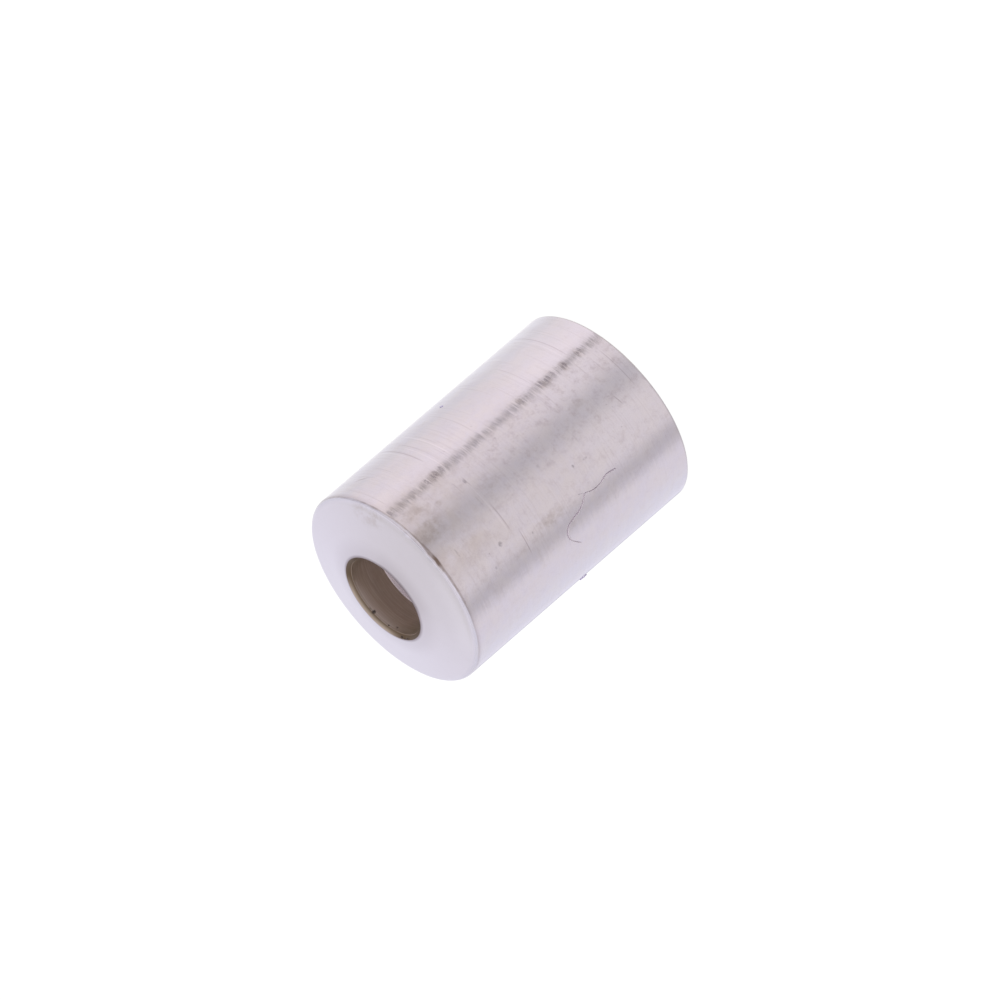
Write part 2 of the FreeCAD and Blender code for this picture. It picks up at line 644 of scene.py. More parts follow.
class PlatedSide(Finish):
    """Bright nickel on the straight side, polished on the lathe, with scratches round it."""

    name = "plated_side"
    roughness = 0.12
    ridge_depth = 0.012
    nickel: Colour = (0.87, 0.855, 0.865)
    warm: Colour = (0.87, 0.85, 0.82)
    cool: Colour = (0.84, 0.835, 0.87)
    tarnish: Colour = (0.74, 0.69, 0.62)
    smudge: Colour = (0.60, 0.54, 0.54)
    olive: Colour = (0.52, 0.47, 0.40)
    dirt: Colour = (0.10, 0.08, 0.11)
    hairline: Colour = (0.50, 0.44, 0.42)
    # Painted glint: the light scratches are painted whiter than the nickel.
    scratch_glint: Colour = (1.0, 0.98, 0.98)
    # Colour of the dull scratches, also laid on as painted shade on the rounded end edge.
    dull_scratch_and_shade: Colour = (0.42, 0.36, 0.37)
    marks = Scratch.rows(
        (6.43, 14.0, 57.0, 0.034, 0.62),
        (6.34, 24.0, 47.0, 0.028, -0.42),
        (6.56, 42.0, 57.0, 0.025, -0.32),
        (6.93, 24.0, 64.0, 0.028, 0.45),
        (6.90, 73.0, 108.0, 0.028, 0.48),
        (6.81, 16.0, 58.0, 0.025, -0.40),
        (6.82, 86.0, 108.0, 0.032, -0.95),
        (6.86, 68.0, 77.0, 0.028, -0.70),
        (7.03, 80.0, 90.0, 0.025, -0.45),
        (7.16, 4.0, 50.0, 0.032, -0.85),
        (7.26, 14.0, 40.0, 0.024, 0.38),
        (7.23, 66.0, 77.0, 0.022, -0.45),
        (8.00, 22.0, 42.0, 0.024, -0.35),
        (8.60, 12.0, 30.0, 0.020, -0.22),
        (8.78, 20.0, 28.5, 0.050, -0.80, -0.042),
        (9.16, 18.0, 57.0, 0.024, -0.34),
        (6.58, 107.0, 125.0, 0.028, -1.05),
        (6.47, 110.0, 122.0, 0.020, 0.34),
        (5.33, 10.0, 56.0, 0.024, -0.28),
        (5.45, 34.0, 57.0, 0.024, 0.22),
        (3.88, 16.0, 34.0, 0.024, -0.32),
        (2.81, 26.0, 58.0, 0.025, -0.40),
        (2.91, 32.0, 60.0, 0.026, 0.40),
        (2.86, 61.0, 77.0, 0.024, -0.42),
        (2.98, 62.0, 80.0, 0.020, 0.30),
        (3.08, 62.0, 77.0, 0.020, -0.38),
        (3.18, 88.5, 96.0, 0.024, -0.55),
        (1.25, 10.0, 59.0, 0.030, -0.66),
        (1.38, 12.0, 60.0, 0.026, 0.40),
        (1.14, 20.0, 46.0, 0.020, 0.22),
        (1.37, 61.0, 73.0, 0.024, -0.55),
        (1.27, 87.5, 95.0, 0.030, -1.05, -0.012),
        (0.88, 64.0, 78.0, 0.022, -0.50),
        (0.68, 62.0, 73.0, 0.018, -0.32),
        (0.46, 63.0, 94.0, 0.026, -0.80),
        (0.55, 66.0, 93.0, 0.020, 0.45),
        (0.21, 18.0, 38.0, 0.020, -0.22),
    )
    dark_specks = Speck.rows(
        (7.37, 107.7, 0.10, 0.11, 0.34),
        (3.84, 101.8, 0.05, 0.07, 0.34),
        (3.35, 102.8, 0.12, 0.05, 0.18),
        (6.90, 71.9, 0.06, 0.12, 0.30),
        (4.78, 90.4, 0.05, 0.09, 0.12),
        (8.73, 96.8, 0.04, 0.20, 0.16),
        (7.90, 116.0, 0.05, 0.07, 0.24),
        (6.22, 114.5, 0.04, 0.06, 0.20),
        (0.86, 58.2, 0.07, 0.17, 0.42),
        (0.98, 58.7, 0.06, 0.13, 0.38),
        (1.58, 58.6, 0.07, 0.16, 0.46),
        (1.69, 59.1, 0.06, 0.14, 0.40),
        (2.08, 58.2, 0.06, 0.20, 0.36),
        (2.28, 58.4, 0.06, 0.17, 0.44),
        (2.40, 58.9, 0.06, 0.15, 0.42),
        (2.60, 58.1, 0.06, 0.18, 0.42),
        (2.71, 58.6, 0.05, 0.14, 0.34),
        (3.50, 58.6, 0.06, 0.16, 0.40),
        (3.62, 58.9, 0.05, 0.13, 0.32),
        (4.08, 58.6, 0.05, 0.20, 0.14),
        (7.05, 58.1, 0.06, 0.19, 0.38),
        (7.31, 58.0, 0.07, 0.16, 0.46),
        (7.43, 58.6, 0.06, 0.15, 0.44),
        (7.71, 58.6, 0.07, 0.17, 0.38),
        (8.28, 58.1, 0.05, 0.15, 0.22),
        (9.34, 58.2, 0.08, 0.18, 0.36),
    )
    patches = Speck.rows(
        (8.94, 79.8, 0.80, 0.44, 0.50),
        (8.95, 66.5, 0.60, 0.30, 0.26),
        (8.62, 71.5, 0.55, 0.52, 0.24),
        (8.03, 71.6, 0.20, 0.13, 0.36),
        (8.50, 106.0, 0.75, 0.38, 0.05),
        (7.90, 97.0, 0.95, 0.55, 0.10),
        (5.40, 114.8, 0.70, 0.28, 0.26),
        (6.60, 116.5, 2.90, 0.34, 0.15),
        (6.35, 81.0, 0.40, 0.24, 0.24),
        (2.35, 79.5, 0.40, 0.24, 0.22),
        (2.50, 58.8, 0.36, 0.30, 0.42),
        (1.64, 59.0, 0.18, 0.30, 0.50),
        (0.92, 58.6, 0.20, 0.30, 0.44),
        (3.56, 59.0, 0.16, 0.26, 0.34),
        (7.40, 58.6, 0.26, 0.26, 0.36),
    )

    def paint(self) -> tuple[Socket, Socket, Socket]:
        """Works out colour, roughness and relief. See Finish.paint."""
        nodes, bearing, height = self.nodes, self.bearing, self.height
        ridges, bands, hairlines = self.turning_marks(height)
        cloud, smudges, tint, pits = self.grime()
        scratches = self.scratches(self.marks)
        specks = self.specks(self.sizes.outer_radius, self.dark_specks)
        where = nodes.in_mm(self.position)

        # Painted highlight: the side is painted lighter towards the open end, below 4.4 mm, on bearings
        # below 124.
        low_painted_highlight = nodes.times(nodes.fade(height, 1.8, 4.4, 0.28), nodes.fade(bearing, 100.0, 124.0))
        near_rim = nodes.ease(height, 5.8, 8.8, 0.08, 0.70)
        rubbed_and_highlit = nodes.around(bearing, 80.0, 18.0, 34.0)
        stained = nodes.times(near_rim, nodes.ease(cloud, 0.32, 0.68), rubbed_and_highlit)
        mottled = nodes.ease(nodes.noise(where, 3.4, 5.0, 0.72), 0.34, 0.62, 0.25, 1.1)
        patched = nodes.times(self.spots(height, self.sizes.outer_radius, self.patches), mottled)
        speckled = nodes.around(bearing, 78.0, 12.0, 20.0)
        speckled = nodes.times(speckled, nodes.fade(height, 5.6, 7.0, 0.28))
        handled = nodes.around(bearing, 92.0, 26.0, 44.0, 1.0, 0.35)
        smudged = nodes.times(smudges, handled, nodes.math("ADD", speckled, 0.44))
        quiet = nodes.fade(bearing, 114.0, 134.0, 1.0, 0.25)
        brushed = nodes.times(nodes.ease(hairlines, 0.52, 0.75, 0.0, 0.11), quiet)
        # Painted glint along the scratches whose lift is above 0.
        glinting = nodes.math("MAXIMUM", scratches, 0.0)
        dull = nodes.math("MAXIMUM", nodes.times(scratches, -1.0), 0.0)
        worn_and_shaded = self.worn_and_shaded()

        colour = nodes.coats(
            self.nickel,
            (0.60, nodes.blend(tint, self.warm, self.cool)),
            (low_painted_highlight, WHITE),
            (stained, self.tarnish),
            (patched, self.olive),
            (smudged, self.smudge),
            (brushed, self.hairline),
            (glinting, self.scratch_glint),
            (nodes.times(dull, 0.5), self.dull_scratch_and_shade),
            (nodes.times(pits, 0.25), self.dirt),
            (specks, self.dirt),
            # Painted shade on the rounded end edge.
            (self.rim_shade(), self.dull_scratch_and_shade),
            (worn_and_shaded, BARE_BRASS_AND_SHADE),
        )
        rough = nodes.muladd(bands, 0.06, self.roughness - 0.03)
        for part, share in ((worn_and_shaded, 0.3), (smudged, 0.25), (specks, 0.4)):
            rough = nodes.muladd(part, share, rough)
        relief = nodes.muladd(bands, 2.0, ridges)
        for part, share in ((scratches, 0.12), (nodes.noise(where, 1.5, 3.0, 0.55), 0.55)):
            relief = nodes.muladd(part, share, relief)
        return colour, rough, relief

    def rim_shade(self) -> Socket:
        """Painted shade on the rounded end edge, over and just under its line of bare metal, from 0 to
        1.
        """
        nodes, bearing, height = self.nodes, self.bearing, self.height
        over_edge = nodes.around(bearing, 62.0, 22.0, 40.0, 0.16)
        over_edge = nodes.times(over_edge, nodes.ease(height, 9.44, 9.50))
        under_line = nodes.ease(height, 9.28, 9.42, 0.0, 0.20)
        under_line = nodes.times(under_line, nodes.fade(height, 9.44, 9.48))
        beside_stain = nodes.ease(nodes.apart(bearing, 67.0), 8.0, 18.0)
        return nodes.muladd(under_line, beside_stain, over_edge)

    def worn_and_shaded(self) -> Socket:
        """Brown bare metal along the end's edge, where the plating has gone, and a painted shade line of
        the same brown round the open end's edge, from 0 to 1.
        """
        # Painted shade: a thin brown line round the open end's edge, below 0.085 mm.
        foot_shade = self.nodes.fade(self.height, 0.02, 0.085, 0.62)
        return self.nodes.math("MAXIMUM", self.worn_edge(), foot_shade)


class PlatedEnd(Finish):
    """Satin nickel on the end cone, with fine rings, a faint stain, painted shade round the hole's rim
    and a painted highlight on the outer band.
    """

    name = "plated_end"
    roughness = 0.3
    ridge_depth = 0.0015
    nickel: Colour = (0.86, 0.85, 0.86)
    stain: Colour = (0.66, 0.62, 0.58)
    shade: Colour = (0.30, 0.26, 0.27)
    handled = Speck.rows((3.25, 47.0, 0.52, 0.84, 1.0))
    handled_radius = 3.2

    def paint(self) -> tuple[Socket, Socket, Socket]:
        """Works out colour, roughness and relief. See Finish.paint."""
        nodes, bearing, radius = self.nodes, self.bearing, self.radius
        ridges, bands, _ = self.turning_marks(radius)
        smudges = self.grime()["Smudges"]
        rim = self.sizes.rim_radius

        facing = nodes.around(bearing, 94.0, 26.0, 46.0)
        by_hole = nodes.times(nodes.fade(radius, rim, rim + 0.8), nodes.muladd(facing, 0.10, 0.15))
        rounded_end = nodes.muladd(facing, 0.04, rim + 0.11)
        rounded = nodes.fade(radius, rim, rounded_end, nodes.muladd(facing, 0.14, 0.60))
        outer = nodes.times(nodes.ease(radius, 2.6, 3.2), nodes.fade(radius, 3.36, 3.44))
        # Painted highlight: the outer band of the end is painted lighter round bearing 127.
        clean_and_highlit = nodes.around(bearing, 127.0, 16.0, 36.0, 0.30)
        blotches = nodes.ease(nodes.noise(nodes.in_mm(self.position), 3.2, 5.0, 0.7), 0.38, 0.62)
        handled = self.spots(radius, self.handled_radius, self.handled)

        colour = nodes.coats(
            self.nickel,
            (nodes.math("ADD", by_hole, rounded), self.shade),
            (nodes.times(outer, clean_and_highlit), WHITE),
            (nodes.times(handled, nodes.times(blotches, 0.52)), self.stain),
            (nodes.times(smudges, 0.07), self.stain),
            (self.worn_edge(), BARE_BRASS_AND_SHADE),
        )
        return colour, nodes.muladd(bands, 0.08, self.roughness - 0.04), ridges


class BareHole(Finish):
    """Dull brown metal in the cable hole, where the plating is thin and dirt collects, with painted
    shade and a painted highlight on its wall and chamfer.
    """

    name = "bare_hole"
    metallic = 0.8
    roughness = 0.40
    ridge_depth = 0.004
    wall: Colour = (0.485, 0.382, 0.295)
    rim: Colour = (0.56, 0.47, 0.37)
    # Light colour of the rings in the hole, also laid on as the painted highlight near the top of the
    # wall.
    line: Colour = (0.74, 0.65, 0.58)
    shade: Colour = (0.13, 0.09, 0.05)
    dirt: Colour = (0.03, 0.02, 0.02)
    marks = Scratch.rows(
        (9.81, -132.0, -44.0, 0.032, 0.85),
        (9.42, -132.0, -52.0, 0.016, 0.35),
        (9.30, -70.0, -24.0, 0.014, 0.45),
        (9.22, -64.0, -20.0, 0.012, 0.35),
        (9.10, -150.0, -86.0, 0.014, 0.25),
        (9.58, -84.0, -30.0, 0.016, 0.20),
        (8.95, -150.0, -110.0, 0.014, 0.25),
    )
    dark_specks = Speck.rows(
        (9.85, -94.5, 0.085, 0.085, 0.74),
        (9.87, -89.0, 0.03, 0.08, 0.3),
        (9.86, -120.0, 0.03, 0.05, 0.9),
        (9.76, -130.5, 0.045, 0.06, 0.8),
        (9.96, -145.5, 0.035, 0.07, 1.0),
        (9.97, -154.0, 0.025, 0.22, 0.7),
    )

    def paint(self) -> tuple[Socket, Socket, Socket]:
        """Works out colour, roughness and relief. See Finish.paint."""
        nodes, bearing, height = self.nodes, self.bearing, self.height
        ridges, bands, hairlines = self.turning_marks(height)
        top = self.sizes.length
        foot_of_chamfer = top - self.sizes.rim_chamfer

        facing = nodes.around(bearing, -93.0, 18.0, 58.0)
        # Painted highlight: the wall is painted lighter near the top of the hole, on the side that faces
        # the camera.
        rubbed_and_highlit = nodes.times(facing, nodes.ease(height, 9.52, 9.84, 0.0, 0.60))
        deeper = nodes.times(facing, nodes.fade(height, 9.2, 9.7, 0.13), nodes.ease(height, 8.9, 9.35))
        turned_away = nodes.ease(nodes.apart(bearing, -90.0), 25.0, 60.0)
        chamfer = nodes.blend(nodes.ease(height, foot_of_chamfer, top), self.shade, self.rim)
        chamfer = nodes.blend(nodes.times(turned_away, 0.95), chamfer, self.shade)

        colour = nodes.coats(
            self.wall,
            (nodes.ease(hairlines, 0.40, 0.75, 0.0, 0.30), self.line),
            (rubbed_and_highlit, self.line),
            (deeper, self.shade),
            (nodes.ease(height, foot_of_chamfer - 0.01, foot_of_chamfer + 0.02), chamfer),
            (nodes.math("MINIMUM", self.scratches(self.marks), 1.0), self.line),
            (self.specks(self.sizes.hole_radius, self.dark_specks), self.dirt),
        )
        return colour, nodes.muladd(bands, 0.16, self.roughness - 0.08), ridges


class PlatedBore(Finish):
    """Nickel in the casing bore, on the seat and on the open end's ring, with coarse tool marks and
    painted shade towards the seat.
    """

    name = "plated_bore"
    roughness = 0.24
    ridge_depth = 0.005
    nickel: Colour = (0.90, 0.87, 0.89)
    # Tarnish colour, also laid on as the painted shade towards the seat.
    tarnish: Colour = (0.66, 0.60, 0.57)
    line: Colour = (0.97, 0.94, 0.93)

    def paint(self) -> tuple[Socket, Socket, Socket]:
        """Works out colour, roughness and relief. See Finish.paint."""
        nodes = self.nodes
        ridges, bands, hairlines = self.turning_marks(nodes.math("ADD", self.radius, self.height))
        stained = nodes.ease(self.grime()["Cloud"], 0.35, 0.65, 0.05, 0.40)
        # Painted shade: the bore is painted darker from 2 mm up to 8 mm above the open end, towards the
        # seat.
        deep_shade = nodes.ease(self.height, 2.0, 8.0, 0.0, 0.08)
        colour = nodes.coats(
            self.nickel,
            (nodes.math("ADD", stained, deep_shade), self.tarnish),
            (nodes.ease(hairlines, 0.45, 0.62, 0.0, 0.6), self.line),
        )
        return colour, nodes.muladd(bands, 0.2, self.roughness - 0.1), ridges


@dataclass(frozen=True)
class LintFinish:
    """Dull textile fibre: its colour, its name and how much paler it gets along the fibre."""

    colour: Colour
    name: str
    paling: float

    def build(self) -> bpy.types.Material:
        """Builds the material, a little uneven along the fibre.

        Returns:
            The material.
        """
        material = bpy.data.materials.new(self.name)
        material.use_nodes = True
        nodes = NodeWriter(material.node_tree)
        shader = material.node_tree.nodes["Principled BSDF"]
        position = nodes.add("ShaderNodeTexCoord", {}).outputs["Object"]
        uneven = nodes.noise(nodes.in_mm(position), 3.0, 2.0)
        paler = tuple(min(1.0, part * self.paling) for part in self.colour)
        nodes.put(shader.inputs["Base Color"], nodes.blend(uneven, self.colour, paler))
        nodes.put(shader.inputs["Roughness"], nodes.muladd(uneven, 0.2, 0.6))
        return material


# The sleeve


@dataclass
class Sleeve:
    """The turned sleeve: one mesh, with a finish on each of its surfaces."""

    sizes: SleeveSizes
    segments: int = 360
    round_steps: int = 10
    side_share: int = 4
    corner_steps: int = 5
    fine_band: float = 0.6
    inner_ring: float = 1.0
    smooth_angle: float = 20.0
    knock_lean: float = 0.6
    knocks: tuple[Knock, ...] = (
        Knock(bearing=73.0, radius=3.45, height=9.52, reach=0.13, depth=0.025),
        Knock(bearing=89.0, radius=3.46, height=9.50, reach=0.20, depth=0.022),
        Knock(bearing=95.0, radius=3.46, height=9.50, reach=0.15, depth=0.018),
        Knock(bearing=33.0, radius=3.46, height=9.50, reach=0.12, depth=0.010),
        Knock(bearing=233.0, radius=3.46, height=9.50, reach=0.15, depth=0.015),
        Knock(bearing=301.0, radius=3.50, height=0.02, reach=0.20, depth=0.015),
        Knock(bearing=208.0, radius=1.55, height=9.99, reach=0.10, depth=0.015),
    )

    def stations(self) -> list[Station]:
        """Walks the section: up the side, in over the end cone, down the hole and down the bore.

        Returns:
            The circles of the turned form, in order.
        """
        size = self.sizes
        corner = size.seat_corner
        ring = size.rim_radius + self.inner_ring
        walk = [
            Station(size.outer_radius - size.open_edge_break, 0.0),
            Station(size.outer_radius, size.open_edge_break, 2),
            Station(size.outer_radius, size.side_top - self.fine_band, 18),
            Station(size.outer_radius, size.side_top, 10),
        ]
        for step in range(1, self.round_steps + 1):
            turned = 2.0 * size.round_half_turn * step / self.round_steps
            walk.append(Station(*size.round_place(turned)))
        walk += [
            Station(ring, size.cone_height(ring), 6),
            Station(size.rim_radius, size.length, 8),
            Station(size.hole_radius, size.length - size.rim_chamfer, 3),
            Station(size.hole_radius, size.seat_height + size.seat_edge_break, 10),
            Station(size.hole_radius + size.seat_edge_break, size.seat_height),
            Station(size.bore_radius - corner, size.seat_height, 4),
        ]
        for step in range(1, self.corner_steps + 1):
            angle = math.radians(90.0 * step / self.corner_steps)
            radius = size.bore_radius - corner * (1.0 - math.sin(angle))
            height = size.seat_height - corner * (1.0 - math.cos(angle))
            walk.append(Station(radius, height))
        walk.append(Station(size.bore_radius, size.lead_in, 12))
        walk.append(Station(size.bore_radius + size.lead_in, 0.0))
        return walk

    def rows(self) -> list[Station]:
        """Splits each stretch between two stations into its rows.

        Returns:
            Every circle of the mesh, in order.
        """
        walk = self.stations()
        circles = walk[:1]
        for before, after in zip(walk, walk[1:]):
            for row in range(1, after.rows + 1):
                part = row / after.rows
                radius = before.radius + (after.radius - before.radius) * part
                height = before.height + (after.height - before.height) * part
                circles.append(Station(radius, height))
        return circles

    def turn(self) -> bpy.types.Object:
        """Extrudes a disc from circle to circle, and joins the last circle to the first.

        Returns:
            The closed sleeve.
        """
        circles = self.rows()
        bpy.ops.object.select_all(action="DESELECT")
        bpy.ops.mesh.primitive_circle_add(
            vertices=self.segments, radius=circles[0].radius * MM, fill_type="NGON", location=ORIGIN,
        )
        sleeve = bpy.context.object
        sleeve.name = sleeve.data.name = "turned_sleeve"
        bpy.ops.object.mode_set(mode="EDIT")
        for before, after in zip(circles, circles[1:]):
            lift = (0.0, 0.0, (after.height - before.height) * MM)
            bpy.ops.mesh.extrude_region_move(TRANSFORM_OT_translate={"value": lift})
            grow = after.radius / before.radius
            middle = (0.0, 0.0, after.height * MM)
            bpy.ops.transform.resize(value=(grow, grow, 1.0), center_override=middle)
        bpy.ops.mesh.delete(type="ONLY_FACE")
        bpy.ops.object.mode_set(mode="OBJECT")
        for face in sleeve.data.polygons:
            face.select = len(face.vertices) > 4
        bpy.ops.object.mode_set(mode="EDIT")
        bpy.ops.mesh.select_mode(type="FACE")
        bpy.ops.mesh.delete(type="ONLY_FACE")
        bpy.ops.mesh.select_mode(type="EDGE")
        bpy.ops.mesh.select_non_manifold()
        bpy.ops.mesh.bridge_edge_loops()
        bpy.ops.mesh.select_all(action="SELECT")
        bpy.ops.mesh.normals_make_consistent(inside=False)
        bpy.ops.object.mode_set(mode="OBJECT")
        return sleeve

    def knock(self, sleeve: bpy.types.Object) -> None:
        """Presses the small dents into the mesh.

        Args:
            sleeve: The sleeve's object.
        """
        for dent in self.knocks:
            middle = place(dent.bearing, dent.radius, dent.height)
            at_end = dent.height > self.sizes.length / 2
            away = place(dent.bearing, 1.0, self.knock_lean if at_end else -self.knock_lean).normalized()
            if dent.radius < self.sizes.rim_radius:
                away = place(dent.bearing, -1.0, 1.0).normalized()
            for vertex in sleeve.data.vertices:
                distance = (vertex.co - middle).length / (dent.reach * MM)
                if distance < 1.0:
                    vertex.co -= away * dent.depth * MM * (1.0 - distance**2) ** 2

    def surface_at(self, centre: Vector) -> Surface:
        """Names the surface that a face belongs to.

        Args:
            centre: The face's centre, in metres.

        Returns:
            The surface.
        """
        size = self.sizes
        radius = math.hypot(centre.x, centre.y) / MM
        height = centre.z / MM
        if height > size.seat_height + size.seat_edge_break and radius < size.rim_radius:
            return Surface.HOLE
        side_end = size.round_place(2.0 * size.round_half_turn * self.side_share / self.round_steps)[1]
        if height > side_end and radius > size.rim_radius:
            return Surface.END
        if radius > size.outer_radius - size.open_edge_break:
            return Surface.SIDE
        return Surface.BORE

    def dress(self, sleeve: bpy.types.Object, effects: Effects) -> None:
        """Gives each surface its finish.

        Args:
            sleeve: The sleeve's object.
            effects: The shared effects.
        """
        finishes = {
            Surface.SIDE: PlatedSide,
            Surface.END: PlatedEnd,
            Surface.HOLE: BareHole,
            Surface.BORE: PlatedBore,
        }
        for surface in Surface:
            sleeve.data.materials.append(finishes[surface](self.sizes, effects).build())
        for face in sleeve.data.polygons:
            face.material_index = self.surface_at(face.center).value

    def build(self, effects: Effects) -> bpy.types.Object:
        """Builds and dresses the sleeve, and puts it in the place of the plain model.

        Args:
            effects: The shared effects.

        Returns:
            The finished sleeve.
        """
        sleeve = self.turn()
        self.dress(sleeve, effects)
        self.knock(sleeve)
        bpy.ops.object.shade_smooth_by_angle(angle=math.radians(self.smooth_angle))
        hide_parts("sleeve")
        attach(sleeve, "root")
        log.info("turned sleeve: %d faces", len(sleeve.data.polygons))
        return sleeve


@dataclass
class Fibre:
    """A stray fibre that clings to the sleeve's side."""

    name: str
    route: tuple[tuple[float, float, float], ...]
    thickness: float
    finish: LintFinish
    radius: float

    def build(self) -> bpy.types.Object:
        """Lays the fibre along its route as a fine tube.

        Returns:
            The fibre.
        """
        bpy.ops.object.select_all(action="DESELECT")
        bpy.ops.curve.primitive_nurbs_path_add(location=ORIGIN)
        fibre = bpy.context.object
        fibre.name = fibre.data.name = self.name
        spline = fibre.data.splines[0]
        spline.points.add(len(self.route) - len(spline.points))
        for point, (bearing, height, gap) in zip(spline.points, self.route):
            point.co = (*place(bearing, self.radius + self.thickness / 2 + gap, height), 1.0)
        spline.order_u = 3
        spline.use_endpoint_u = True
        fibre.data.resolution_u = 6
        fibre.data.bevel_depth = self.thickness / 2 * MM
        fibre.data.bevel_resolution = 2
        fibre.data.use_fill_caps = True
        bpy.ops.object.convert(target="MESH")
        fibre.data.materials.clear()
        fibre.data.materials.append(self.finish.build())
        bpy.ops.object.shade_smooth()
        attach(fibre, "root")
        log.info("%s: %d faces", self.name, len(fibre.data.polygons))
        return fibre


STRAY_FIBRE = (
    (117.6, 2.62, 0.02), (116.6, 2.90, 0.02), (116.7, 3.08, 0.01), (118.3, 3.30, 0.0),
    (118.7, 3.54, 0.0), (118.2, 3.76, 0.01), (116.6, 3.98, 0.0), (118.6, 4.11, 0.0),
    (121.0, 4.24, 0.0), (122.7, 4.47, 0.01), (123.5, 4.73, 0.01), (125.0, 4.98, 0.02),
    (127.6, 5.12, 0.02), (130.9, 5.15, 0.02), (134.4, 5.07, 0.01), (138.9, 4.78, 0.0),
)
STRAY_FIBRE_END = (
    (117.2, 3.98, 0.0), (116.8, 4.00, 0.0), (116.2, 4.04, 0.0), (115.6, 4.12, 0.01), (114.9, 4.21, 0.01),
)
LINT_DOT = (
    (18.8, 4.85, 0.0), (19.1, 4.83, 0.0), (19.5, 4.81, 0.01), (19.9, 4.79, 0.0), (20.2, 4.77, 0.0),
)
LINT_SPECK = (
    (181.0, 4.50, 0.0), (180.5, 4.44, 0.0), (180.0, 4.36, 0.01), (180.5, 4.28, 0.0), (181.0, 4.21, 0.0),
)


# Studio


@dataclass(frozen=True)
class Strip:
    """A soft grey strip in the white tent, which the sleeve's side mirrors as a darker band."""

    bearing: float
    half_width: float
    dark: float
    tone: Colour = BLACK
    lean: float = 0.0
    overhead: float = 0.0
    half_height: Optional[float] = None


